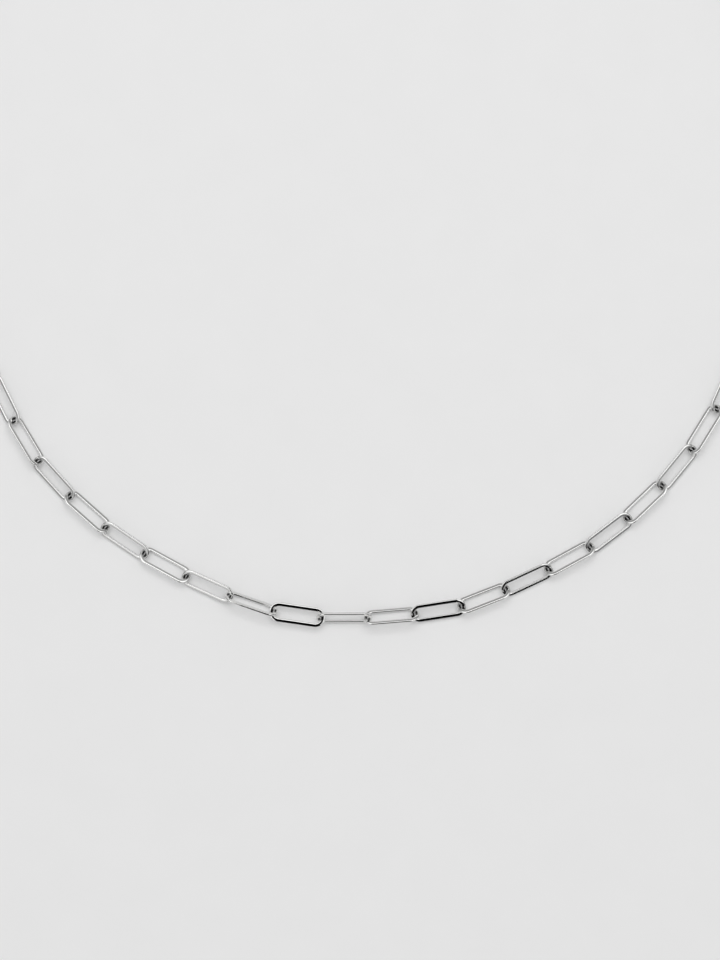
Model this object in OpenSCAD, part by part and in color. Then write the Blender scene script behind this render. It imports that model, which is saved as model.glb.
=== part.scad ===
/* [Necklace] */
// Length around the closed loop, made up with an even number of whole links
necklace_length = 460; // [400:5:620]
// Play between two pieces that hook into each other
play = 0.2; // [0.15:0.05:0.4]

/* [Link] */
// Length of a link over its round ends
link_length = 9.85; // [9:0.05:12]
// Width of a link over its two legs
link_width = 3.45; // [3.2:0.05:5]
// Width of the link's wire, seen from the flat face of the link
wire_width = 0.7; // [0.5:0.05:0.8]
// Thickness of the link's wire between its two rolled flats
wire_thickness = 0.46; // [0.4:0.02:0.6]

/* [Jump rings] */
// Diameter of a jump ring over its wire
ring_diameter = 4.2; // [4:0.1:5]
// Diameter of a jump ring's wire
ring_wire = 0.7; // [0.6:0.05:0.8]

/* [Clasp] */
// Length of the clasp over its claw and its eye
clasp_length = 10.6; // [9.5:0.1:13]
// Width of the claw over its two arms
claw_width = 4.4; // [4:0.1:5]
// Diameter of the claw's arms
claw_wire = 1.1; // [0.9:0.05:1.2]
// Diameter of the hole through the eye
eye_hole = 1.6; // [1.5:0.05:2]
// Diameter of the eye's wire
eye_wire = 0.7; // [0.6:0.05:0.9]
// Length of the neck between the claw and the eye
neck_length = 0.5; // [0.3:0.1:1]
// Diameter of the thumb knob on the claw's lever
knob_diameter = 0.9; // [0.7:0.1:1]

/* [Resting pose] */
// Lean of an ordinary link off its flat, to one side and the other in turn
link_lean = 32; // [30:1:42]
// Lean of the two jump rings
ring_lean = 40; // [36:1:50]
// Lean of the clasp
clasp_lean = 25; // [22:1:35]

/* [Hidden] */
$fn = 48;

// Points that the necklace lies through, from the clasp down the left side, round the front and back
route = [
    [6, 71.5], [-11, 71], [-27.5, 68.5], [-43, 62.5], [-56, 52.5], [-65.5, 38.5], [-70, 22],
    [-70.5, 4], [-69, -13], [-66.5, -22], [-63, -30], [-59.5, -37], [-54.5, -45], [-46, -53.5],
    [-38.5, -59], [-28.5, -64.5], [-17.5, -69], [-8.5, -71], [4, -71], [17, -69.5], [23, -67.5],
    [32, -63.5], [42, -58], [51, -50.5], [58, -42.5], [63, -34.5], [66.5, -26.5], [69, -18],
    [70.5, -2], [70.5, 15], [68, 32], [61.5, 48], [51, 60.5], [37.5, 67.5], [22, 71]
];
// Distance along that route from its first point to the first link
first_joint = 13.2;
// Steps of the smooth curve between two points of the route
curve_steps = 16;

// Lean of each link at the front, where it shows, from left to right
front_leans = [43, -33, 36, -32, 30, -30, 60, 0, -60, 45, -26, 36, -32, 37, -26, 33, -31, 37];

wire_radius = wire_width / 2;
half_thickness = wire_thickness / 2;
half_flat = sqrt(max(0, wire_radius ^ 2 - half_thickness ^ 2));
link_bend = (link_width - wire_width) / 2;
claw_bend = (claw_width - claw_wire) / 2;
ring_bend = (ring_diameter - ring_wire) / 2;
eye_bend = (eye_hole + eye_wire) / 2;

// Distance between the joints at the two ends of each kind of piece
link_pitch = link_length - 2 * wire_width - play;
ring_pitch = ring_diameter - 2 * ring_wire - play;
clasp_pitch = clasp_length - claw_wire - eye_wire - play;

// The pieces in order round the loop: the links, the end ring, the clasp and the clasp ring
fastening = 2 * ring_pitch + clasp_pitch;
link_count = 2 * round((necklace_length - fastening) / link_pitch / 2);
end_ring_place = link_count;
clasp_place = link_count + 1;
clasp_ring_place = link_count + 2;
piece_count = link_count + 3;
loop_length = link_count * link_pitch + fastening;
first_front = (link_count - len(front_leans)) / 2;
left_count = first_front + len(front_leans) / 2;

// Smooth closed curve through the route
function knot(i) = route[(i + len(route)) % len(route)];
function between(a, b, c, d, t) =
    (2 * b + (c - a) * t + (2 * a - 5 * b + 4 * c - d) * t ^ 2 + (3 * b - a - 3 * c + d) * t ^ 3) / 2;
curve = [for (i = [0:len(route)], k = [0:curve_steps - 1])
    between(knot(i - 1), knot(i), knot(i + 1), knot(i + 2), k / curve_steps)];
curve_ends = len(route) * curve_steps;
travelled = [for (i = 0, s = 0; i <= curve_ends; s = s + norm(curve[i + 1] - curve[i]), i = i + 1) s];
route_length = travelled[curve_ends];
route_scale = loop_length / route_length;
x_along = [for (i = [0:curve_ends]) [travelled[i], curve[i].x]];
y_along = [for (i = [0:curve_ends]) [travelled[i], curve[i].y]];

// Place in the loop of the joint before a piece, counted round and round
function start_of(i) =
    i * link_pitch
    + (i > end_ring_place ? ring_pitch - link_pitch : 0)
    + (i > clasp_place ? clasp_pitch - link_pitch : 0)
    + (i > clasp_ring_place ? ring_pitch - link_pitch : 0);
function joint(i) =
    let (along = (first_joint + start_of(i) / route_scale) % route_length)
    route_scale * [lookup(along, x_along), lookup(along, y_along)];

// Lean of a piece: the front links have their own, and the others go to each side in turn
function side(steps) = steps % 2 == 0 ? 1 : -1;
function piece(i) = (i + piece_count) % piece_count;
function lean(i) =
    i < first_front ? side(first_front - i) * link_lean
    : i < first_front + len(front_leans) ? front_leans[i - first_front]
    : i < link_count ? side(link_count - 1 - i - first_front) * link_lean
    : i == clasp_place ? side(first_front) * clasp_lean
    : -side(first_front) * ring_lean;

// Height of a piece's middle line when its lower leg rests on the ground. The higher of the two
// pieces that meet at a joint sets the height of both there.
function wire_reach(angle) =
    wire_radius * cos(angle) <= half_thickness
    ? wire_radius
    : half_flat * sin(angle) + half_thickness * cos(angle);
function height(i) =
    let (angle = abs(lean(i)))
    i < link_count ? link_bend * sin(angle) + wire_reach(angle)
    : i == clasp_place ? claw_bend * sin(angle) + claw_wire / 2
    : ring_bend * sin(angle) + ring_wire / 2;
function joint_height(i) = max(height(piece(i - 1)), height(piece(i)));

// Lays a piece, modelled flat along X, between its two joints
module laid(i) {
    from = [joint(i).x, joint(i).y, joint_height(i)];
    to = [joint(i + 1).x, joint(i + 1).y, joint_height(i + 1)];
    run = to - from;
    translate((from + to) / 2)
        rotate([-lean(i), -asin(run.z / norm(run)), atan2(run.y, run.x)])
            children();
}

// Wire bent to a long oval: two straight legs and two half round ends, around the section given
module oval(length, width) {
    bend = width / 2;
    legs = length - width;
    for (end = [-1, 1]) {
        translate([end * legs / 2, 0, 0])
            rotate(-90 * end)
                rotate_extrude(angle = 180) translate([bend, 0]) children();
        translate([0, end * bend, 0])
            rotate([90, 0, 90]) linear_extrude(height = legs, center = true) children();
    }
}

// Section of the link's wire: round wire rolled flat on two sides
module flat_wire() {
    intersection() {
        circle(d = wire_width);
        square([2 * wire_width, wire_thickness], center = true);
    }
}

module link() {
    oval(link_length - wire_width, link_width - wire_width) flat_wire();
}

module links(first, last) {
    color("silver") for (i = [first:last]) laid(i) link();
}

module chain_left() {
    links(0, left_count - 1);
}

module chain_right() {
    links(left_count, link_count - 1);
}

module jump_ring() {
    rotate_extrude() translate([ring_bend, 0]) circle(d = ring_wire);
}

module clasp_ring() {
    color("silver") laid(clasp_ring_place) jump_ring();
}

module end_ring() {
    color("silver") laid(end_ring_place) jump_ring();
}

// Closed claw of round arms with a thumb knob on its lever, a neck and a round eye
module clasp() {
    claw_start = -(clasp_pitch + play) / 2 - claw_wire;
    eye_middle = (clasp_pitch + play) / 2 - eye_hole / 2;
    claw_end = eye_middle - eye_bend - eye_wire / 2 - neck_length;
    claw_length = claw_end - claw_start;
    knob_reach = claw_bend + claw_wire / 2;
    color("silver") laid(clasp_place) {
        translate([(claw_start + claw_end) / 2, 0, 0])
            oval(claw_length - claw_wire, claw_width - claw_wire) circle(d = claw_wire);
        translate([claw_end - claw_wire / 2, 0, 0])
            rotate([0, 90, 0]) cylinder(d = eye_wire, h = neck_length + (claw_wire + eye_wire) / 2);
        translate([eye_middle, 0, 0])
            rotate_extrude() translate([eye_bend, 0]) circle(d = eye_wire);
        translate([(claw_start + claw_end) / 2, -side(first_front) * knob_reach, 0])
            sphere(d = knob_diameter);
    }
}

chain_left();
chain_right();
clasp();
clasp_ring();
end_ring();
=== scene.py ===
"""A closed paperclip chain necklace of polished silver, laid in its loop on a pale surface.

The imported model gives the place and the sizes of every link, ring and clasp. This script measures
them there and models each piece again with its rolled flats, softened edges and polish.
"""

import logging
import math
from collections.abc import Sequence
from dataclasses import dataclass, field
from enum import Enum

import bmesh
import bpy
import numpy as np
from mathutils import Matrix, Vector


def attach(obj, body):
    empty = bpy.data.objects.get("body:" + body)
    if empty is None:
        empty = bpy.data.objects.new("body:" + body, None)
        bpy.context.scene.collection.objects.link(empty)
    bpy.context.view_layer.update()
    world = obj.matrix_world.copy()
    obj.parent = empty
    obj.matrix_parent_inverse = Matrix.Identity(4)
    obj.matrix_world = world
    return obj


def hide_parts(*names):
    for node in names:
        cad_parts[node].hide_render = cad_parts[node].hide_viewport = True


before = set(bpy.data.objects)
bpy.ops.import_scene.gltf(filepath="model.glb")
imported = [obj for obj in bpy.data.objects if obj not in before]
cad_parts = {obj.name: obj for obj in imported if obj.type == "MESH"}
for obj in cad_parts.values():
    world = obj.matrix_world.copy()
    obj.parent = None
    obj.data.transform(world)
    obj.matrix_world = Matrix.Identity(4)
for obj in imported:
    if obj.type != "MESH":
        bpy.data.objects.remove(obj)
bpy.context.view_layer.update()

MM = 0.001
MICRON = 0.000001
WIRE_PLACE = "wire_place"
JOINT_SHADE = "joint_shade"
# How far past a leg's end a measured point still counts as on the leg
LEG_MARGIN = 0.05 * MM
# How close two points are that count as one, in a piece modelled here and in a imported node
SAME_POINT = 0.5 * MICRON
SAME_CORNER = 0.1 * MICRON
# Rounds in which the clasp's axes settle once its knob is left out
POSE_ROUNDS = 4
# How far the wear marks shift from one link to the next, in link lengths
MARK_SHIFT = 5
# How far past the wire's radius a seam's faces are looked for, as a share of the radius
SEAM_REACH = 1.5
# Share of the claw's half width that reaches past the middle of the eye from its far end
EYE_SHARE = 0.75

log = logging.getLogger("necklace")


def linear(hex_code: str) -> tuple[float, float, float, float]:
    """Turns an sRGB hex colour into the linear colour that a shader socket takes.

    Args:
        hex_code: The colour as six hex digits after a hash mark.

    Returns:
        Red, green and blue in linear light, and an alpha of 1.
    """
    parts = [int(hex_code[i:i + 2], 16) / 255 for i in (1, 3, 5)]
    # The sRGB curve has a straight foot and runs as a power above it
    red, green, blue = [p / 12.92 if p <= 0.04045 else ((p + 0.055) / 1.055) ** 2.4 for p in parts]
    return red, green, blue, 1.0


def add_node(
    tree: bpy.types.NodeTree, kind: str, inputs: dict | None = None, **settings: object
) -> bpy.types.Node:
    """Adds a node to a tree, with its settings, its values and its links.

    Args:
        tree: The node tree of a material or a world.
        kind: The node's type name.
        inputs: For each input, by name or number, a value or the socket that feeds it.
        **settings: The node's own properties.

    Returns:
        The new node.
    """
    node = tree.nodes.new(kind)
    for name, value in settings.items():
        setattr(node, name, value)
    for key, value in (inputs or {}).items():
        if isinstance(value, bpy.types.NodeSocket):
            tree.links.new(value, node.inputs[key])
        else:
            node.inputs[key].default_value = value
    return node


def fade(value: float, none: float, full: float) -> float:
    """How strong a thing is at a value, from 0 where there is none of it to 1 where it is full."""
    return min(1.0, max(0.0, (value - none) / (full - none)))


def new_material(name: str) -> tuple[bpy.types.Material, bpy.types.NodeTree]:
    """Makes an empty node material.

    Args:
        name: The material's name.

    Returns:
        The material and its empty node tree.
    """
    material = bpy.data.materials.new(name)
    material.use_nodes = True
    material.node_tree.nodes.clear()
    return material, material.node_tree


def finish_piece(
    bm: bmesh.types.BMesh, name: str, material: bpy.types.Material, node: str
) -> bpy.types.Object:
    """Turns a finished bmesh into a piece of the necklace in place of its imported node.

    Args:
        bm: The piece's mesh, in metres, at its place.
        name: The name of the new object.
        material: The finish that it wears.
        node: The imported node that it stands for.

    Returns:
        The new object, at the origin, unturned and unscaled.
    """
    for face in bm.faces:
        face.smooth = True
    mesh = bpy.data.meshes.new(name)
    bm.to_mesh(mesh)
    bm.free()
    mesh.materials.append(material)
    piece = bpy.data.objects.new(name, mesh)
    bpy.context.scene.collection.objects.link(piece)
    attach(piece, "root")
    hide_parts(node)
    triangles = sum(len(polygon.vertices) - 2 for polygon in mesh.polygons)
    log.info("%s: %d triangles in place of %s", name, triangles, node)
    return piece


@dataclass(frozen=True)
class Solid:
    """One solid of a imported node, with the way that it lies.

    Its own axes are its long way, its way across and the way that its flat side faces.
    """

    triangles: np.ndarray
    middle: Vector
    along: Vector
    across: Vector
    facing: Vector

    @classmethod
    def measured(cls, triangles: np.ndarray, counted: np.ndarray | None = None) -> "Solid":
        """Finds a solid's middle and its main axes from its surface.

        Args:
            triangles: Its surface, as triangles of three points.
            counted: Which of the triangles count for the axes. All do if it is left out.

        Returns:
            The solid, with its facing axis towards the sky.
        """
        used = triangles if counted is None else triangles[counted]
        sides = used[:, 1:] - used[:, :1]
        areas = np.linalg.norm(np.cross(sides[:, 0], sides[:, 1]), axis=1) / 2
        middle = np.average(used.mean(axis=1), axis=0, weights=areas)
        corners = used - middle
        sums = corners.sum(axis=1)
        # A triangle's second moment is that of its corners and of their sum, weighed by its area
        spread = np.einsum("f,fci,fcj->ij", areas, corners, corners)
        spread += np.einsum("f,fi,fj->ij", areas, sums, sums)
        vectors = np.linalg.eigh(spread)[1]
        facing = Vector(vectors[:, 0])
        if facing.z < 0:
            facing = -facing
        along = Vector(vectors[:, 2])
        return cls(triangles, Vector(middle), along, facing.cross(along), facing)

    @property
    def turn(self) -> Matrix:
        """The turn that takes a piece modelled flat to the way that the solid lies."""
        return Matrix((self.along, self.across, self.facing)).transposed().to_4x4()

    @property
    def place(self) -> Matrix:
        """The matrix that takes a piece modelled flat at the origin to where the solid lies."""
        return Matrix.Translation(self.middle) @ self.turn

    @property
    def own_triangles(self) -> np.ndarray:
        """Its triangles along its own three axes, from its middle."""
        axes = np.array((self.along, self.across, self.facing))
        return (self.triangles - np.array(self.middle)) @ axes.T

    @property
    def own_points(self) -> np.ndarray:
        """The corners of its triangles along its own three axes, one a row."""
        return self.own_triangles.reshape(-1, 3)

    def turned_about(self) -> "Solid":
        """The same solid with its long axis the other way."""
        return Solid(self.triangles, self.middle, -self.along, -self.across, self.facing)

    def levelled(self) -> "Solid":
        """The same solid with its long axis level, for a round one that has no long way of its own."""
        along = self.facing.cross(Vector((0, 0, 1))).normalized()
        return Solid(self.triangles, self.middle, along, self.facing.cross(along), self.facing)


def solids_of(node: str) -> list[Solid]:
    """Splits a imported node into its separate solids.

    Args:
        node: The node's name.

    Returns:
        Its solids, in the order in which they follow each other round the loop.
    """
    bm = bmesh.new()
    bm.from_mesh(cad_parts[node].data)
    bmesh.ops.remove_doubles(bm, verts=bm.verts, dist=SAME_CORNER)
    bmesh.ops.triangulate(bm, faces=bm.faces[:])
    solids = []
    unseen = set(bm.verts)
    while unseen:
        stack = [unseen.pop()]
        group = [stack[0]]
        while stack:
            for edge in stack.pop().link_edges:
                for vert in edge.verts:
                    if vert in unseen:
                        unseen.remove(vert)
                        stack.append(vert)
                        group.append(vert)
        faces = {face for vert in group for face in vert.link_faces}
        solids.append(Solid.measured(np.array([[vert.co[:] for vert in face.verts] for face in faces])))
    bm.free()
    return sorted(solids, key=lambda solid: math.atan2(solid.middle.x, solid.middle.y))


def draw_round(bm: bmesh.types.BMesh, radius: float, sides: int, at: Vector) -> list[bmesh.types.BMEdge]:
    """Draws the section of a round wire, standing across X.

    Args:
        bm: The bmesh that it is drawn in.
        radius: The wire's radius.
        sides: How many sides the circle has.
        at: The middle of the section.

    Returns:
        The section's edges.
    """
    stand = Matrix.Translation(at) @ Matrix.Rotation(math.pi / 2, 4, "Y")
    made = bmesh.ops.create_circle(bm, segments=sides, radius=radius, matrix=stand)
    return list({edge for vert in made["verts"] for edge in vert.link_edges})


def sweep_oval(
    bm: bmesh.types.BMesh, section: list[bmesh.types.BMEdge], legs: float, bend: float,
    bend_steps: int, leg_steps: int,
) -> None:
    """Sweeps a section round a long oval: a round end, a leg, the other end and the other leg.

    Args:
        bm: The bmesh that holds the section, which stands at the start of the first end.
        section: The section's edges.
        legs: Length of the straight legs.
        bend: Radius of the round ends along the middle of the wire. Not used.
        bend_steps: Steps in each round end.
        leg_steps: Steps in each leg.
    """
    edges = section
    for end in (1, -1):
        swept = bmesh.ops.spin(
            bm, geom=edges, cent=(end * legs / 2, 0, 0), axis=(0, 0, 1), angle=-math.pi, steps=bend_steps,
        )
        edges = [part for part in swept["geom_last"] if isinstance(part, bmesh.types.BMEdge)]
        for _ in range(leg_steps):
            drawn = bmesh.ops.extrude_edge_only(bm, edges=edges)["geom"]
            edges = [part for part in drawn if isinstance(part, bmesh.types.BMEdge)]
            verts = [part for part in drawn if isinstance(part, bmesh.types.BMVert)]
            bmesh.ops.translate(bm, verts=verts, vec=(-end * legs / leg_steps, 0, 0))
    bmesh.ops.remove_doubles(bm, verts=bm.verts[:], dist=SAME_POINT)


def cut_seam(
    bm: bmesh.types.BMesh, at: Vector, way: Vector, reach: float, width: float, depth: float
) -> None:
    """Cuts a fine seam right round a wire.

    Args:
        bm: The bmesh of the piece.
        at: The middle of the wire where the seam is.
        way: The way that the wire runs there.
        reach: How far from that middle the wire's skin is looked for.
        width: Width of the seam.
        depth: Depth of the seam.
    """
    for offset in (-width / 2, width / 2, 0):
        near = [face for face in bm.faces if (face.calc_center_median() - at).length < reach]
        parts = {part for face in near for part in (*face.verts, *face.edges)}
        cut = bmesh.ops.bisect_plane(
            bm, geom=near + list(parts), dist=SAME_POINT, plane_co=at + way * offset, plane_no=way,
        )
    for part in cut["geom_cut"]:
        if isinstance(part, bmesh.types.BMVert):
            part.co += (at - part.co).normalized() * depth


class Process(Enum):
    """How a piece of silver was made, which decides the marks that its polish leaves."""

    ROLLED = "rolled"
    DRAWN = "drawn"
    CAST = "cast"


@dataclass(frozen=True)
class PolishedSilver:
    """Sterling silver, tumbled and buffed to a bright white polish.

    The eye sees the surroundings in it, slightly softened by fine wear marks.
    """

    name: str
    process: Process
    colour: str = "#E6E6E5"
    smoothest: float = 0.03
    roughest: float = 0.08
    wear_size: float = 0.9 * MM
    wear_low: float = 0.3
    wear_high: float = 0.7
    wear_detail: float = 2.0
    line_width: float = 0.06 * MM
    line_length: float = 3.0 * MM
    line_depth: float = 0.25 * MICRON
    line_detail: float = 3.0
    dimple_size: float = 0.5 * MM
    dimple_depth: float = 0.8 * MICRON
    dimple_detail: float = 1.0
    # Near-black tone of the joints: partly oxide, partly painted shade where the touching wires shadow each
    # other
    oxide_and_shade: str = "#08080A"
    oxide_and_shade_share: float = 0.98
    oxide_and_shade_roughness: float = 0.16

    def place_on_piece(self, tree: bpy.types.NodeTree) -> bpy.types.NodeSocket:
        """Finds the place that the marks follow: along the wire, or in space on a casting.

        Args:
            tree: The node tree of the finish.

        Returns:
            The socket that gives the place.
        """
        if self.process is Process.CAST:
            return add_node(tree, "ShaderNodeTexCoord").outputs["Object"]
        return add_node(tree, "ShaderNodeAttribute", attribute_name=WIRE_PLACE).outputs["Vector"]

    def build(self) -> bpy.types.Material:
        """Builds the node material.

        Returns:
            The material, ready to assign.
        """
        material, tree = new_material(self.name)
        place = self.place_on_piece(tree)
        # Tumbling wears the polish in soft patches
        wear = add_node(tree, "ShaderNodeTexNoise", {
            "Vector": place, "Scale": 1 / self.wear_size, "Detail": self.wear_detail,
        })
        roughness = add_node(tree, "ShaderNodeMapRange", {
            "Value": wear.outputs["Fac"], "From Min": self.wear_low, "From Max": self.wear_high,
            "To Min": self.smoothest, "To Max": self.roughest,
        })
        # Rollers, draw plate and polishing wheel leave lines along the wire. The real ones are finer,
        # and are drawn as coarse as they need to be to show.
        stretch = (1 / self.line_length, 1 / self.line_width, 1 / self.line_width)
        run = add_node(tree, "ShaderNodeMapping", {"Vector": place, "Scale": stretch})
        lines = add_node(tree, "ShaderNodeTexNoise", {
            "Vector": run.outputs["Vector"], "Scale": 1.0, "Detail": self.line_detail,
        })
        # The tumbled skin is faintly dimpled
        dimples = add_node(tree, "ShaderNodeTexNoise", {
            "Vector": place, "Scale": 1 / self.dimple_size, "Detail": self.dimple_detail,
        })
        soft = add_node(tree, "ShaderNodeBump", {
            "Height": dimples.outputs["Fac"], "Distance": self.dimple_depth, "Strength": 1.0,
        })
        marked = add_node(tree, "ShaderNodeBump", {
            "Height": lines.outputs["Fac"], "Distance": self.line_depth, "Strength": 1.0,
            "Normal": soft.outputs["Normal"],
        })
        # Inside a joint, where the polishing wheel doesn't reach, a dark oxide stays; it is painted near
        # black as painted shade for the shadow between the touching wires
        shade = add_node(tree, "ShaderNodeAttribute", attribute_name=JOINT_SHADE).outputs["Fac"]
        share = add_node(tree, "ShaderNodeMath", {0: shade, 1: self.oxide_and_shade_share}, operation="MULTIPLY")
        oxide_and_shade_amount = share.outputs[0]
        colour = add_node(tree, "ShaderNodeMix", {
            "Factor": oxide_and_shade_amount, "A": linear(self.colour), "B": linear(self.oxide_and_shade),
        }, data_type="RGBA")
        dulled = add_node(tree, "ShaderNodeMix", {
            "Factor": oxide_and_shade_amount, "A": roughness.outputs["Result"], "B": self.oxide_and_shade_roughness,
        }, data_type="FLOAT")
        silver = add_node(tree, "ShaderNodeBsdfPrincipled", {
            "Base Color": colour.outputs["Result"], "Metallic": 1.0,
            "Roughness": dulled.outputs["Result"], "Normal": marked.outputs["Normal"],
        })
        add_node(tree, "ShaderNodeOutputMaterial", {"Surface": silver.outputs["BSDF"]})
        return material


@dataclass(frozen=True)
class PaleBoard:
    """Smooth matt card that the necklace lies on, which scatters light evenly with a faint mottle."""

    name: str = "pale_matt_board"
    light_tone: str = "#F0F0F0"
    dark_tone: str = "#EDEDED"
    mottle_size: float = 9 * MM
    mottle_detail: float = 3.0
    grain_size: float = 0.5 * MM
    grain_depth: float = 2 * MICRON
    grain_detail: float = 2.0
    roughness: float = 0.85
    gloss: float = 0.2

    def build(self) -> bpy.types.Material:
        """Builds the node material.

        Returns:
            The material, ready to assign.
        """
        material, tree = new_material(self.name)
        place = add_node(tree, "ShaderNodeTexCoord").outputs["Object"]
        mottle = add_node(tree, "ShaderNodeTexNoise", {
            "Vector": place, "Scale": 1 / self.mottle_size, "Detail": self.mottle_detail,
        })
        tone = add_node(tree, "ShaderNodeMix", {
            "Factor": mottle.outputs["Fac"], "A": linear(self.dark_tone), "B": linear(self.light_tone),
        }, data_type="RGBA")
        grain = add_node(tree, "ShaderNodeTexNoise", {
            "Vector": place, "Scale": 1 / self.grain_size, "Detail": self.grain_detail,
        })
        bump = add_node(tree, "ShaderNodeBump", {
            "Height": grain.outputs["Fac"], "Distance": self.grain_depth,
        })
        board = add_node(tree, "ShaderNodeBsdfPrincipled", {
            "Base Color": tone.outputs["Result"], "Roughness": self.roughness,
            "Specular IOR Level": self.gloss, "Normal": bump.outputs["Normal"],
        })
        add_node(tree, "ShaderNodeOutputMaterial", {"Surface": board.outputs["BSDF"]})
        return material


@dataclass(frozen=True)
class PaperclipLink:
    """A long oval link of round wire rolled flat on two sides, bent on edge and soldered shut."""

    length: float
    width: float
    wire_width: float
    wire_thickness: float
    # Power of the section's curve: 2 gives an oval, and more gives broader flats and tighter corners
    squareness: float = 2.9
    wire_sides: int = 48
    bend_steps: int = 20
    leg_steps: int = 4
    # Degrees off the tip of a round end up to which the joint's oxide and painted shade is full, and at which
    # it ends
    shade_core: float = 16.0
    shade_turn: float = 30.0
    # Shares of the wire's half width: the oxide and painted shade start so far outside its middle, and are
    # full so far inside
    shade_reach: float = 0.2
    shade_depth: float = 0.1

    @classmethod
    def measured(cls, solid: Solid) -> "PaperclipLink":
        """Takes a link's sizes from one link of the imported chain.

        Args:
            solid: The link's solid.

        Returns:
            A link of the same sizes.
        """
        own = solid.own_points
        length, width, thickness = own.max(axis=0) - own.min(axis=0)
        on_legs = np.abs(own[:, 0]) < (length - width) / 2 + LEG_MARGIN
        inner = np.abs(own[on_legs, 1]).min()
        return cls(length, width, width / 2 - inner, thickness)

    @property
    def bend(self) -> float:
        """Radius of the round ends along the middle of the wire."""
        return (self.width - self.wire_width) / 2

    @property
    def legs(self) -> float:
        """Length of the two straight legs."""
        return self.length - self.width

    def section(self, bm: bmesh.types.BMesh) -> list[bmesh.types.BMEdge]:
        """Draws the wire's section, a circle squared by the rollers, standing at the first round end.

        Args:
            bm: The bmesh that it is drawn in.

        Returns:
            The section's edges.
        """
        made = bmesh.ops.create_circle(bm, segments=self.wire_sides, radius=1.0)
        for vert in made["verts"]:
            across, up = [math.copysign(abs(part) ** (2 / self.squareness), part) for part in vert.co.xy]
            out = self.bend + across * self.wire_width / 2
            vert.co = (self.legs / 2, out, up * self.wire_thickness / 2)
        return list({edge for vert in made["verts"] for edge in vert.link_edges})

    def build(self) -> bmesh.types.BMesh:
        """Sweeps the section round the link: a round end, a leg, the other end and the other leg.

        Returns:
            The link, flat at the origin with its length along X.
        """
        bm = bmesh.new()
        section = self.section(bm)
        sweep_oval(bm, section, self.legs, self.bend, self.bend_steps, self.leg_steps)
        bmesh.ops.recalc_face_normals(bm, faces=bm.faces[:])
        self.mark_wire(bm)
        return bm

    def along_wire(self, point: Vector) -> float:
        """Measures how far round the link a point lies, from the middle of one leg.

        Args:
            point: The point, on the link as modelled.

        Returns:
            The distance along the middle of the wire.
        """
        if abs(point.x) <= self.legs / 2:
            return point.x if point.y > 0 else self.legs + math.pi * self.bend - point.x
        if point.x > 0:
            return self.legs / 2 + self.bend * math.atan2(point.x - self.legs / 2, point.y)
        turned = math.atan2(-self.legs / 2 - point.x, -point.y)
        return 1.5 * self.legs + self.bend * (math.pi + turned)

    def joint_shade(self, point: Vector) -> float:
        """Works out how far a point lies inside a joint, for its oxide and painted shade.

        Args:
            point: The point, on the link as modelled.

        Returns:
            1 on the inner wall of a round end, and 0 on its sides and on the legs.
        """
        past_leg = abs(point.x) - self.legs / 2
        if past_leg <= 0:
            return 0.0
        turned = math.degrees(math.atan2(abs(point.y), past_leg))
        inward = (self.bend - math.hypot(past_leg, point.y)) / (self.wire_width / 2)
        near_tip = fade(turned, self.shade_turn, self.shade_core)
        return near_tip * fade(inward, -self.shade_reach, self.shade_depth)

    def mark_wire(self, bm: bmesh.types.BMesh) -> None:
        """Notes the place in the wire on every face corner and the joint's oxide and painted shade on every
        point.

        Args:
            bm: The finished link.
        """
        layer = bm.loops.layers.float_vector.new(WIRE_PLACE)
        shade = bm.verts.layers.float.new(JOINT_SHADE)
        for vert in bm.verts:
            vert[shade] = self.joint_shade(vert.co)
        way_round = 2 * self.legs + 2 * math.pi * self.bend
        for face in bm.faces:
            reference = self.along_wire(face.calc_center_median())
            for loop in face.loops:
                point = loop.vert.co
                distance = self.along_wire(point)
                distance += way_round * round((reference - distance) / way_round)
                past_leg = max(0.0, abs(point.x) - self.legs / 2)
                loop[layer] = (distance, math.hypot(past_leg, point.y) - self.bend, point.z)


@dataclass
class ChainHalf:
    """Half of the chain: its interlocked links fused into one piece."""

    node: str
    finish: PolishedSilver
    first_mark: float = 0.0

    def build(self) -> bpy.types.Object:
        """Models one link and lays a copy of it where each link of the node lies.

        Returns:
            The finished half.
        """
        solids = solids_of(self.node)
        link = PaperclipLink.measured(solids[0])
        log.info(
            "%s: %d links of %.2f x %.2f mm in %.3f x %.3f mm wire", self.node, len(solids),
            link.length / MM, link.width / MM, link.wire_width / MM, link.wire_thickness / MM,
        )
        bm = link.build()
        layer = bm.loops.layers.float_vector[WIRE_PLACE]
        pattern = bm.faces[:]
        shift = self.first_mark
        for solid in solids:
            copied = bmesh.ops.duplicate(bm, geom=pattern)["geom"]
            verts = [part for part in copied if isinstance(part, bmesh.types.BMVert)]
            bmesh.ops.transform(bm, matrix=solid.place, verts=verts)
            shift += MARK_SHIFT * link.length
            for face in copied:
                if isinstance(face, bmesh.types.BMFace):
                    for loop in face.loops:
                        loop[layer] = loop[layer] + Vector((shift, 0, 0))
        bmesh.ops.delete(bm, geom=pattern, context="FACES")
        return finish_piece(bm, self.node + "_links", self.finish.build(), self.node)


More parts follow.
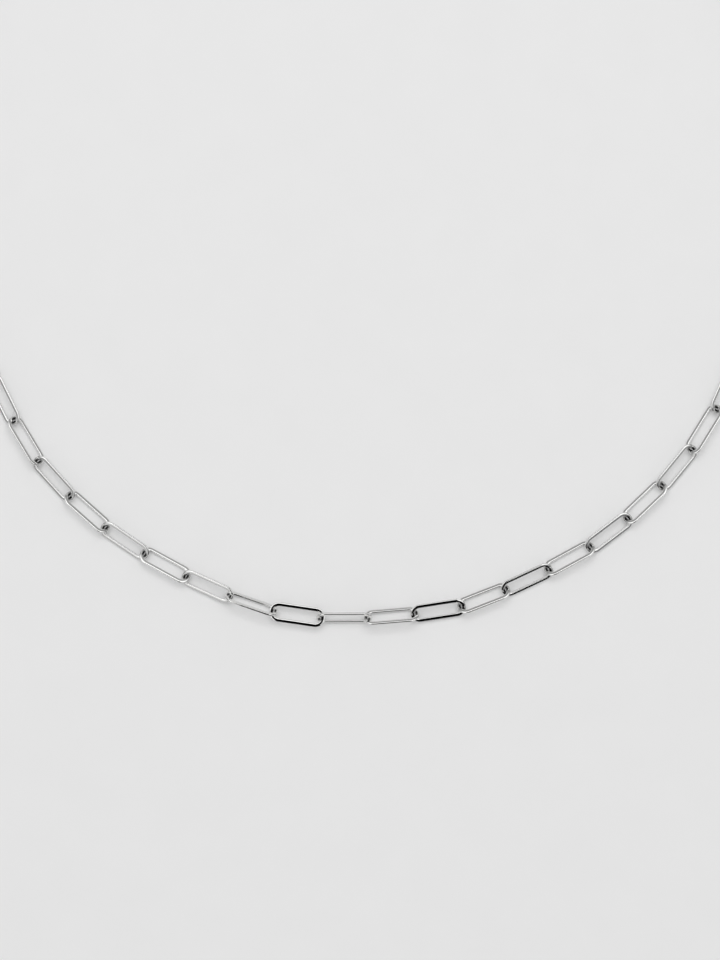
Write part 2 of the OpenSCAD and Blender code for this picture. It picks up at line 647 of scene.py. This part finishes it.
@dataclass(frozen=True)
class JumpRing:
    """A ring of round drawn wire, bent shut, with the saw cut of its closing seam."""

    node: str
    finish: PolishedSilver
    wire_sides: int = 36
    turn_steps: int = 96
    seam_width: float = 0.05 * MM
    seam_depth: float = 0.06 * MM

    def build(self) -> bpy.types.Object:
        """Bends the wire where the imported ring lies, with its seam at the ring's upper side.

        Returns:
            The finished ring.
        """
        solid = solids_of(self.node)[0].levelled()
        own = solid.own_points
        wire = (own[:, 2].max() - own[:, 2].min()) / 2
        bend = np.hypot(own[:, 0], own[:, 1]).max() - wire
        log.info("%s: ring of %.2f mm over %.2f mm wire", self.node, 2 * (bend + wire) / MM, 2 * wire / MM)
        bm = bmesh.new()
        high = Vector((0, math.copysign(bend, solid.across.z), 0))
        section = draw_round(bm, wire, self.wire_sides, high)
        bmesh.ops.spin(
            bm, geom=section, cent=(0, 0, 0), axis=(0, 0, 1), angle=2 * math.pi,
            steps=self.turn_steps, use_merge=True,
        )
        bmesh.ops.remove_doubles(bm, verts=bm.verts[:], dist=SAME_POINT)
        cut_seam(bm, high, Vector((1, 0, 0)), SEAM_REACH * wire, self.seam_width, self.seam_depth)
        bmesh.ops.recalc_face_normals(bm, faces=bm.faces[:])
        bmesh.ops.transform(bm, matrix=solid.place, verts=bm.verts[:])
        return finish_piece(bm, self.node + "_wire", self.finish.build(), self.node)


@dataclass(frozen=True)
class ClawClasp:
    """A closed claw clasp, cast in one: two arms, a thumb knob on the lever, a neck and an eye."""

    finish: PolishedSilver
    claw_start: float
    claw_end: float
    claw_width: float
    claw_wire: float
    eye_middle: float
    eye_width: float
    eye_wire: float
    knob_place: Vector
    knob_width: float
    place: Matrix
    node: str = "clasp"
    wire_sides: int = 40
    bend_steps: int = 30
    leg_steps: int = 12
    skin_voxel: float = 0.05 * MM
    skin_rounds: int = 14
    skin_smoothing: float = 0.5
    seam_width: float = 0.09 * MM
    seam_depth: float = 0.07 * MM
    tip_turn: float = 62.0
    pivot_turn: float = 38.0

    @classmethod
    def measured(cls, finish: PolishedSilver, node: str = "clasp") -> "ClawClasp":
        """Takes the clasp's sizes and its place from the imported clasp.

        Args:
            finish: The finish that it wears.
            node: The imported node.

        Returns:
            A clasp of the same sizes at the same place.
        """
        solid = solids_of(node)[0]
        for _ in range(POSE_ROUNDS):
            own = solid.own_points
            if own[np.abs(own[:, 1]).argmax(), 0] > 0:
                solid = solid.turned_about()
                own = solid.own_points
            # Without the arms between their two bends, one of which carries the knob, the rest is even
            half_claw = min(own[:, 1].max(), -own[:, 1].min())
            knob_x = own[np.abs(own[:, 1]) > half_claw + LEG_MARGIN, 0].mean()
            reach = knob_x - own[:, 0].min() - half_claw
            centres = solid.own_triangles.mean(axis=1)
            solid = Solid.measured(solid.triangles, np.abs(centres[:, 0] - knob_x) > reach)
        return cls.from_points(finish, node, solid)

    @classmethod
    def from_points(cls, finish: PolishedSilver, node: str, solid: Solid) -> "ClawClasp":
        """Reads the clasp's sizes off its surface once its axes are known.

        Args:
            finish: The finish that it wears.
            node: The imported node.
            solid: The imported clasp, with its long axis along the clasp.

        Returns:
            A clasp of the same sizes at the same place.
        """
        if solid.own_points[np.abs(solid.own_points[:, 1]).argmax(), 0] > 0:
            solid = solid.turned_about()
        own = solid.own_points
        start, end = own[:, 0].min(), own[:, 0].max()
        wide = np.abs(own[:, 1])
        knob_side = 1 if own[:, 1].max() > -own[:, 1].min() else -1
        half_claw = min(own[:, 1].max(), -own[:, 1].min())
        claw_wire = own[:, 2].max() - own[:, 2].min()
        at_tip = (own[:, 0] > end - claw_wire / 2) & (wide < claw_wire / 2)
        eye_wire = own[at_tip, 2].max() - own[at_tip, 2].min()
        half_eye = wide[own[:, 0] > end - half_claw * EYE_SHARE].max()
        past_eye = half_eye + LEG_MARGIN
        claw_end = half_claw + max(
            x - math.sqrt(half_claw ** 2 - y ** 2)
            for x, y in zip(own[:, 0], wide) if past_eye < y < half_claw
        )
        return cls(
            finish, start, claw_end, 2 * half_claw, claw_wire, end - half_eye, 2 * half_eye, eye_wire,
            Vector(((start + claw_end) / 2, knob_side * half_claw, 0)), 2 * (wide.max() - half_claw),
            solid.place, node,
        )

    @property
    def bend(self) -> float:
        """Radius of the claw's round ends along the middle of its arms."""
        return (self.claw_width - self.claw_wire) / 2

    @property
    def legs(self) -> float:
        """Length of the straight part of the claw's arms."""
        return self.claw_end - self.claw_start - self.claw_width

    def rough_shapes(self, bm: bmesh.types.BMesh) -> None:
        """Models the claw, the neck, the eye and the knob as closed shapes that run into each other.

        Args:
            bm: The bmesh that they are modelled in.
        """
        claw_middle = (self.claw_start + self.claw_end) / 2
        section = draw_round(bm, self.claw_wire / 2, self.wire_sides, Vector((self.legs / 2, self.bend, 0)))
        sweep_oval(bm, section, self.legs, self.bend, self.bend_steps, self.leg_steps)
        bmesh.ops.translate(bm, verts=bm.verts[:], vec=(claw_middle, 0, 0))
        eye_bend = (self.eye_width - self.eye_wire) / 2
        section = draw_round(bm, self.eye_wire / 2, self.wire_sides, Vector((self.eye_middle, eye_bend, 0)))
        bmesh.ops.spin(
            bm, geom=section, cent=(self.eye_middle, 0, 0), axis=(0, 0, 1), angle=2 * math.pi,
            steps=2 * self.bend_steps, use_merge=True,
        )
        bmesh.ops.remove_doubles(bm, verts=bm.verts[:], dist=SAME_POINT)
        neck_start = self.claw_end - self.claw_wire / 2
        neck_end = self.eye_middle - eye_bend
        stand = Matrix.Translation(((neck_start + neck_end) / 2, 0, 0)) @ Matrix.Rotation(math.pi / 2, 4, "Y")
        bmesh.ops.create_cone(
            bm, cap_ends=True, segments=self.wire_sides, radius1=self.eye_wire / 2, radius2=self.eye_wire / 2,
            depth=neck_end - neck_start, matrix=stand,
        )
        bmesh.ops.create_uvsphere(
            bm, u_segments=self.wire_sides, v_segments=self.wire_sides // 2, radius=self.knob_width / 2,
            matrix=Matrix.Translation(self.knob_place),
        )
        bmesh.ops.recalc_face_normals(bm, faces=bm.faces[:])

    def cast(self, bm: bmesh.types.BMesh) -> bmesh.types.BMesh:
        """Fuses the rough shapes into one skin and rounds the corners where they meet, as casting does.

        Args:
            bm: The rough shapes, which are used up.

        Returns:
            The casting, at the same place and size.
        """
        bmesh.ops.scale(bm, vec=Vector.Fill(3, 1 / MM), verts=bm.verts[:])
        mesh = bpy.data.meshes.new("rough_clasp")
        bm.to_mesh(mesh)
        bm.free()
        rough = bpy.data.objects.new("rough_clasp", mesh)
        bpy.context.scene.collection.objects.link(rough)
        skin = rough.modifiers.new("skin", "REMESH")
        skin.mode = "VOXEL"
        skin.voxel_size = self.skin_voxel / MM
        bpy.context.view_layer.update()
        fused = rough.evaluated_get(bpy.context.evaluated_depsgraph_get())
        casting = bmesh.new()
        casting.from_mesh(fused.data)
        bpy.data.objects.remove(rough)
        bpy.data.meshes.remove(mesh)
        for _ in range(self.skin_rounds):
            bmesh.ops.smooth_vert(
                casting, verts=casting.verts[:], factor=self.skin_smoothing,
                use_axis_x=True, use_axis_y=True, use_axis_z=True,
            )
        bmesh.ops.scale(casting, vec=Vector.Fill(3, MM), verts=casting.verts[:])
        return casting

    def cut_lever(self, casting: bmesh.types.BMesh) -> None:
        """Cuts the two fine seams where the lever leaves the claw: at the tip and at its pivot.

        Args:
            casting: The casting, flat at the origin.
        """
        side = math.copysign(1, self.knob_place.y)
        claw_middle = (self.claw_start + self.claw_end) / 2
        for end, turned in ((-1, self.tip_turn), (1, self.pivot_turn)):
            angle = math.radians(turned)
            out = Vector((end * math.sin(angle), side * math.cos(angle), 0))
            way = Vector((end * math.cos(angle), -side * math.sin(angle), 0))
            at = Vector((claw_middle + end * self.legs / 2, 0, 0)) + out * self.bend
            cut_seam(casting, at, way, SEAM_REACH * self.claw_wire / 2, self.seam_width, self.seam_depth)

    def build(self) -> bpy.types.Object:
        """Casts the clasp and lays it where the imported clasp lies.

        Returns:
            The finished clasp.
        """
        log.info(
            "%s: claw %.2f x %.2f mm, eye %.2f mm, knob %.2f mm", self.node,
            (self.claw_end - self.claw_start) / MM, self.claw_width / MM,
            self.eye_width / MM, self.knob_width / MM,
        )
        rough = bmesh.new()
        self.rough_shapes(rough)
        casting = self.cast(rough)
        self.cut_lever(casting)
        bmesh.ops.recalc_face_normals(casting, faces=casting.faces[:])
        bmesh.ops.transform(casting, matrix=self.place, verts=casting.verts[:])
        return finish_piece(casting, self.node + "_casting", self.finish.build(), self.node)


@dataclass(frozen=True)
class Softbox:
    """A large soft light, seen from the necklace in a direction and at a distance."""

    name: str
    azimuth: float
    elevation: float
    distance: float
    width: float
    height: float
    power: float


@dataclass(frozen=True)
class Flag:
    """A card that only the polish sees, black unless its tone says otherwise.

    The black ones stand for the camera, its stand and the dark front of the room, and the grey and
    the pale one for what is dimmer or brighter beside them.
    """

    name: str
    azimuth: float
    elevation: float
    distance: float
    width: float
    height: float
    tone: str = "#050505"


@dataclass
class Studio:
    """The board, the soft light, the room, the cards and the camera straight above."""

    frame_px: tuple[int, int] = (720, 960)
    scale: float = 0.1744 * MM
    origin_px: tuple[float, float] = (356.0, 210.0)
    camera_height: float = 600 * MM
    nearest_seen: float = 10 * MM
    farthest_seen: float = 20.0
    chain_height: float = 1.3 * MM
    sensor: float = 36.0
    board_size: float = 6.0
    fill_tone: str = "#ADADAD"
    wall_tone: str = "#868686"
    ceiling_tone: str = "#FFFFFF"
    wall_top: float = 28.0
    ceiling_foot: float = 48.0
    room_strength: float = 1.42
    board: PaleBoard = field(default_factory=PaleBoard)
    lights: Sequence[Softbox] = (
        Softbox("key_softbox", 90, 70, 1.2, 0.9, 0.9, 6.0),
    )
    flags: Sequence[Flag] = (
        Flag("camera_flag", -90, 80, 0.62, 0.34, 0.34),
        Flag("front_flag", -85.5, 22, 0.9, 0.78, 0.80),
        Flag("stand_flag", -90, 58, 0.7, 0.36, 0.50),
        Flag("side_flag", -51, 22, 0.95, 0.34, 0.66, "#828283"),
        Flag("left_card", -121, 27, 0.95, 0.31, 0.34, "#DEDEDE"),
    )

    def facing_in(self, azimuth: float, elevation: float, distance: float) -> Matrix:
        """Works out where a light or card stands when it faces the necklace.

        Args:
            azimuth: Degrees from +X towards +Y.
            elevation: Degrees above the board.
            distance: Distance from the origin.

        Returns:
            The matrix that puts it there with its back to the world outside.
        """
        turn, lift = math.radians(azimuth), math.radians(elevation)
        out = Vector((math.cos(turn) * math.cos(lift), math.sin(turn) * math.cos(lift), math.sin(lift)))
        return Matrix.Translation(out * distance) @ out.to_track_quat("Z", "Y").to_matrix().to_4x4()

    def lay_board(self) -> None:
        """Lays the pale board under the necklace."""
        bm = bmesh.new()
        bmesh.ops.create_grid(bm, x_segments=1, y_segments=1, size=self.board_size / 2)
        mesh = bpy.data.meshes.new("board")
        bm.to_mesh(mesh)
        bm.free()
        mesh.materials.append(self.board.build())
        board = bpy.data.objects.new("board", mesh)
        bpy.context.scene.collection.objects.link(board)

    def hang_light(self, light: Softbox) -> None:
        """Hangs one softbox.

        Args:
            light: The softbox.
        """
        data = bpy.data.lights.new(light.name, "AREA")
        data.shape = "RECTANGLE"
        data.size = light.width
        data.size_y = light.height
        data.energy = light.power
        lamp = bpy.data.objects.new(light.name, data)
        # The polish sees the white ceiling where the softbox hangs
        lamp.visible_glossy = False
        lamp.matrix_world = self.facing_in(light.azimuth, light.elevation, light.distance)
        bpy.context.scene.collection.objects.link(lamp)

    def stand_flag(self, flag: Flag) -> None:
        """Stands one card where only reflections show it.

        Args:
            flag: The card.
        """
        bm = bmesh.new()
        # A grid's size is half its side, so this one is a unit square that is stretched to the card
        bmesh.ops.create_grid(bm, x_segments=1, y_segments=1, size=1 / 2)
        bmesh.ops.scale(bm, verts=bm.verts[:], vec=(flag.width, flag.height, 1))
        bmesh.ops.transform(
            bm, verts=bm.verts[:], matrix=self.facing_in(flag.azimuth, flag.elevation, flag.distance)
        )
        mesh = bpy.data.meshes.new(flag.name)
        bm.to_mesh(mesh)
        bm.free()
        # Matt card, which shows the same tone from every side
        material, tree = new_material(flag.name + "_matt_card")
        face = add_node(tree, "ShaderNodeEmission", {"Color": linear(flag.tone), "Strength": 1.0})
        add_node(tree, "ShaderNodeOutputMaterial", {"Surface": face.outputs["Emission"]})
        mesh.materials.append(material)
        card = bpy.data.objects.new(flag.name, mesh)
        bpy.context.scene.collection.objects.link(card)
        card.visible_camera = False
        card.visible_diffuse = False
        card.visible_shadow = False

    def light_room(self) -> None:
        """Lights the room: the polish sees grey walls under a white ceiling, the board an even fill."""
        world = bpy.data.worlds.new("pale_room")
        bpy.context.scene.world = world
        world.use_nodes = True
        tree = world.node_tree
        tree.nodes.clear()
        way = add_node(tree, "ShaderNodeTexCoord").outputs["Generated"]
        height = add_node(tree, "ShaderNodeSeparateXYZ", {"Vector": way}).outputs["Z"]
        rise = add_node(tree, "ShaderNodeMapRange", {
            "Value": height, "From Min": math.sin(math.radians(self.wall_top)),
            "From Max": math.sin(math.radians(self.ceiling_foot)),
        }, interpolation_type="SMOOTHSTEP")
        tone = add_node(tree, "ShaderNodeMix", {
            "Factor": rise.outputs["Result"], "A": linear(self.wall_tone), "B": linear(self.ceiling_tone),
        }, data_type="RGBA")
        mirrored = add_node(tree, "ShaderNodeLightPath").outputs["Is Glossy Ray"]
        seen = add_node(tree, "ShaderNodeMix", {
            "Factor": mirrored, "A": linear(self.fill_tone), "B": tone.outputs["Result"],
        }, data_type="RGBA")
        glow = add_node(tree, "ShaderNodeBackground", {
            "Color": seen.outputs["Result"], "Strength": self.room_strength,
        })
        add_node(tree, "ShaderNodeOutputWorld", {"Surface": glow.outputs["Background"]})

    def set_camera(self) -> None:
        """Sets the camera straight above the middle of the photograph's frame."""
        width, height = self.frame_px
        data = bpy.data.cameras.new("camera_above")
        data.sensor_width = self.sensor
        data.lens = self.sensor * self.camera_height / (height * self.scale)
        data.clip_start = self.nearest_seen
        data.clip_end = self.farthest_seen
        camera = bpy.data.objects.new("camera_above", data)
        middle_x = (width / 2 - self.origin_px[0]) * self.scale
        middle_y = (self.origin_px[1] - height / 2) * self.scale
        camera.location = (middle_x, middle_y, self.chain_height + self.camera_height)
        bpy.context.scene.collection.objects.link(camera)
        bpy.context.scene.camera = camera

    def build(self) -> None:
        """Sets the whole studio."""
        bpy.context.scene.view_settings.view_transform = "Standard"
        self.set_camera()
        self.lay_board()
        self.light_room()
        for light in self.lights:
            self.hang_light(light)
        for flag in self.flags:
            self.stand_flag(flag)


def main() -> None:
    """Sets the studio and builds the necklace, piece by piece."""
    logging.basicConfig(level=logging.INFO, format="%(message)s")
    Studio().build()
    rolled = PolishedSilver("silver_rolled_wire", Process.ROLLED)
    ChainHalf("chain_left", rolled).build()
    ChainHalf("chain_right", rolled, first_mark=2.0).build()
    drawn = PolishedSilver("silver_drawn_wire", Process.DRAWN, line_depth=0.15 * MICRON)
    JumpRing("clasp_ring", drawn).build()
    JumpRing("end_ring", drawn).build()
    ClawClasp.measured(PolishedSilver("silver_casting", Process.CAST)).build()


if __name__ == "__main__":
    main()
